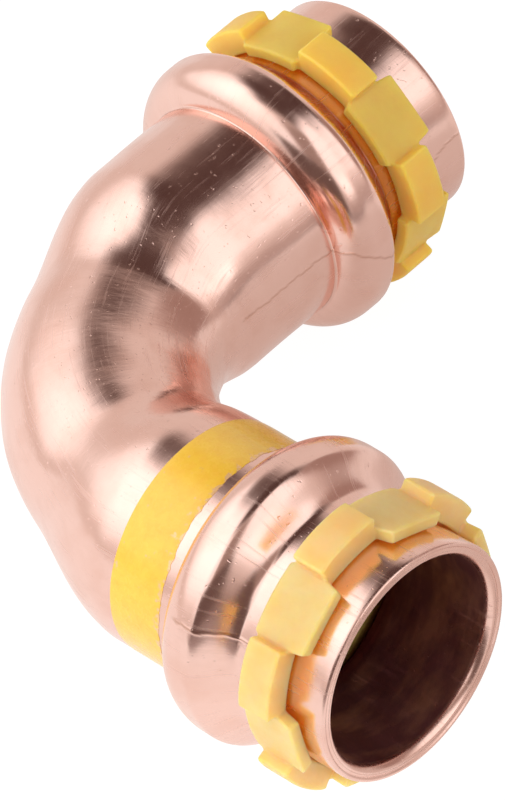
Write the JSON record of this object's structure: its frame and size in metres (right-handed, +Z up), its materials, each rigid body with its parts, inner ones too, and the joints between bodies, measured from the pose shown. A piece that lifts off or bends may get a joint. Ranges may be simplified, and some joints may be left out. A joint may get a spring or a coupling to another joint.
{
  "type": "pipe elbow",
  "caption": "Right-angle copper press-fit elbow with a beaded socket on each leg, seal rings, plastic indicator rings and a yellow gas marking band.",
  "frame": {"origin": "middle of the bottom of the bounding box, with the elbow lying flat", "axes": "+X out of the lower mouth, along the leg with the marking band; +Y out of the upper mouth; +Z up, square to the plane of the bend"},
  "size_m": [0.072, 0.072, 0.032],
  "materials": {
    "copper": "bright drawn copper with fine scratches, darker and oxidised inside",
    "seal_rubber": "smooth moulded yellow nitrile rubber",
    "indicator_plastic": "soft translucent yellow plastic",
    "marking_ink": "thin glossy yellow ink"
  },
  "bodies": {
    "fitting": {"elbow_body": "copper", "lower_seal_ring": "seal_rubber", "upper_seal_ring": "seal_rubber", "gas_marking_band": "marking_ink"},
    "lower_indicator": {"lower_indicator_ring": "indicator_plastic"},
    "upper_indicator": {"upper_indicator_ring": "indicator_plastic"}
  },
  "joints": [
    {"name": "lower_indicator_pull", "type": "slide", "parent": "fitting", "child": "lower_indicator", "axis": [1, 0, 0], "range_m": [-0.002, 0.01]},
    {"name": "upper_indicator_pull", "type": "slide", "parent": "fitting", "child": "upper_indicator", "axis": [0, 1, 0], "range_m": [0, 0.012]}
  ]
}
